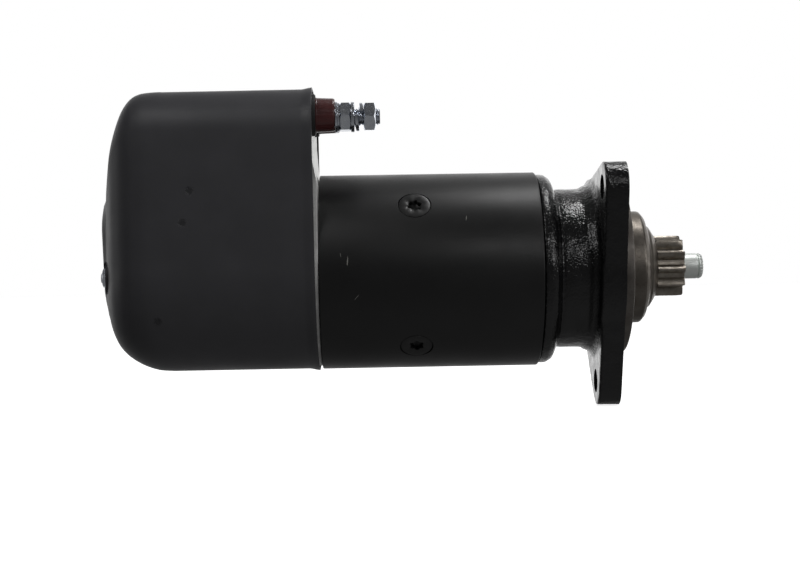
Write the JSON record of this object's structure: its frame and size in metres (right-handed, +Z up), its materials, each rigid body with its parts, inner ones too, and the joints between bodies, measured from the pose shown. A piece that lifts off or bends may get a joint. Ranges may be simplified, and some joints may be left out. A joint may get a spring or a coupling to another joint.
{
  "type": "starter motor",
  "caption": "Heavy-duty sliding-gear starter motor: black steel body, eared mounting flange, straight-tooth pinion, rear cover and screw terminals.",
  "frame": {"origin": "on the shaft axis, in the plane of the flange's mounting face", "axes": "+X along the shaft towards the pinion, +Z up, with the battery terminal on the -Y side"},
  "size_m": [0.4336, 0.1752, 0.2276],
  "materials": {
    "black_cover": "matte charcoal-black powder coat",
    "black_barrel": "satin black paint",
    "black_casting": "glossy black paint over sand-cast iron",
    "nose_steel": "turned, slightly browned steel",
    "bearing_steel": "ground",
    "bronze": "sintered bronze",
    "seal_rubber": "matt",
    "zinc": "bright zinc plate",
    "aluminium": "raw die-cast",
    "soft_iron": "phosphated",
    "dark_steel": "blackened steel",
    "coil_wrap": "varnished tape over copper",
    "phenolic": "dark red-brown moulded phenolic",
    "copper": "bare copper",
    "board": "laminated phenolic sheet",
    "brass_boxes": "pressed brass",
    "bobbin_plastic": "glass-filled nylon",
    "black_plastic": "moulded",
    "lamination": "stacked electrical sheet",
    "shaft_steel": "ground steel",
    "friction_plate": "sintered friction lining",
    "spring_steel": "oiled spring steel",
    "pinion_steel": "case-hardened, tan-grey",
    "carbon": "copper-graphite"
  },
  "bodies": {
    "housing": {"rear_cover": "black_cover", "cover_gasket": "seal_rubber", "cover_studs": "zinc", "cover_nuts": "zinc", "end_shield": "aluminium", "pole_housing": "black_barrel", "pole_shoes": "soft_iron", "pole_screws": "dark_steel", "field_coils": "coil_wrap", "through_bolts": "zinc", "drive_end_bracket": "black_casting", "nose_ring": "nose_steel", "spindle_bearing": "bearing_steel", "drum_bearing": "bearing_steel", "rear_bearing": "bronze", "shaft_seal": "seal_rubber", "terminal_seal": "seal_rubber", "battery_insulator": "phenolic", "battery_stud": "zinc", "battery_inner_nut": "zinc", "battery_washers": "zinc", "battery_spring_washer": "zinc", "battery_outer_nut": "zinc", "control_insulator": "phenolic", "control_stud": "zinc", "control_nuts": "zinc", "battery_bar": "copper", "field_bar": "copper", "brush_plate": "board", "brush_boxes": "brass_boxes", "solenoid_housing": "bearing_steel", "solenoid_bobbin": "bobbin_plastic", "solenoid_coil": "copper", "solenoid_end_plate": "bearing_steel", "solenoid_screws": "zinc", "relay_body": "bearing_steel", "relay_coil": "copper", "relay_cap": "black_plastic", "relay_contacts": "copper", "brush_springs": "spring_steel"},
    "armature": {"armature_shaft": "shaft_steel", "armature_core": "lamination", "armature_windings": "copper", "commutator": "copper", "clutch_drum": "shaft_steel", "clutch_outer_plates": "lamination", "clutch_hub": "shaft_steel", "clutch_inner_plates": "friction_plate"},
    "engaging_gear": {"solenoid_plunger": "shaft_steel", "engaging_rod": "shaft_steel", "return_spring": "spring_steel"},
    "drive": {"drive_spindle": "shaft_steel", "pinion": "pinion_steel", "pinion_nut": "zinc"},
    "relay_armature": {"relay_plunger": "shaft_steel", "relay_spring": "spring_steel"},
    "brush_body_1": {"brush_1": "carbon"},
    "brush_body_2": {"brush_2": "carbon"},
    "brush_body_3": {"brush_3": "carbon"},
    "brush_body_4": {"brush_4": "carbon"}
  },
  "joints": [
    {"name": "armature_spin", "type": "hinge", "parent": "housing", "child": "armature", "pos_m": [-0.145, 0, 0], "axis": [1, 0, 0], "continuous": true},
    {"name": "shift_slide", "type": "slide", "parent": "housing", "child": "engaging_gear", "axis": [1, 0, 0], "range_m": [0, 0.02], "stiffness_N_per_m": 1500, "springref_m": -0.02, "deforming": ["return_spring"]},
    {"name": "pinion_spin", "type": "hinge", "parent": "engaging_gear", "child": "drive", "pos_m": [0.03, 0, 0], "axis": [1, 0, 0], "continuous": true},
    {"name": "relay_slide", "type": "slide", "parent": "housing", "child": "relay_armature", "axis": [1, 0, 0], "range_m": [0, 0.003], "stiffness_N_per_m": 900, "springref_m": -0.004, "deforming": ["relay_spring"]},
    {"name": "brush_1_slide", "type": "slide", "parent": "housing", "child": "brush_body_1", "axis": [0, 0.6534, 0.757], "range_m": [0, 0.005], "stiffness_N_per_m": 900, "springref_m": -0.016, "deforming": ["brush_springs"]},
    {"name": "brush_2_slide", "type": "slide", "parent": "housing", "child": "brush_body_2", "axis": [0, -0.757, 0.6534], "range_m": [0, 0.005], "stiffness_N_per_m": 900, "springref_m": -0.016, "deforming": ["brush_springs"]},
    {"name": "brush_3_slide", "type": "slide", "parent": "housing", "child": "brush_body_3", "axis": [0, -0.6534, -0.757], "range_m": [0, 0.005], "stiffness_N_per_m": 900, "springref_m": -0.016, "deforming": ["brush_springs"]},
    {"name": "brush_4_slide", "type": "slide", "parent": "housing", "child": "brush_body_4", "axis": [0, 0.757, -0.6534], "range_m": [0, 0.005], "stiffness_N_per_m": 900, "springref_m": -0.016, "deforming": ["brush_springs"]}
  ],
  "couplings": [
    {"joint": "pinion_spin", "follows": "armature_spin", "ratio": 1}
  ]
}
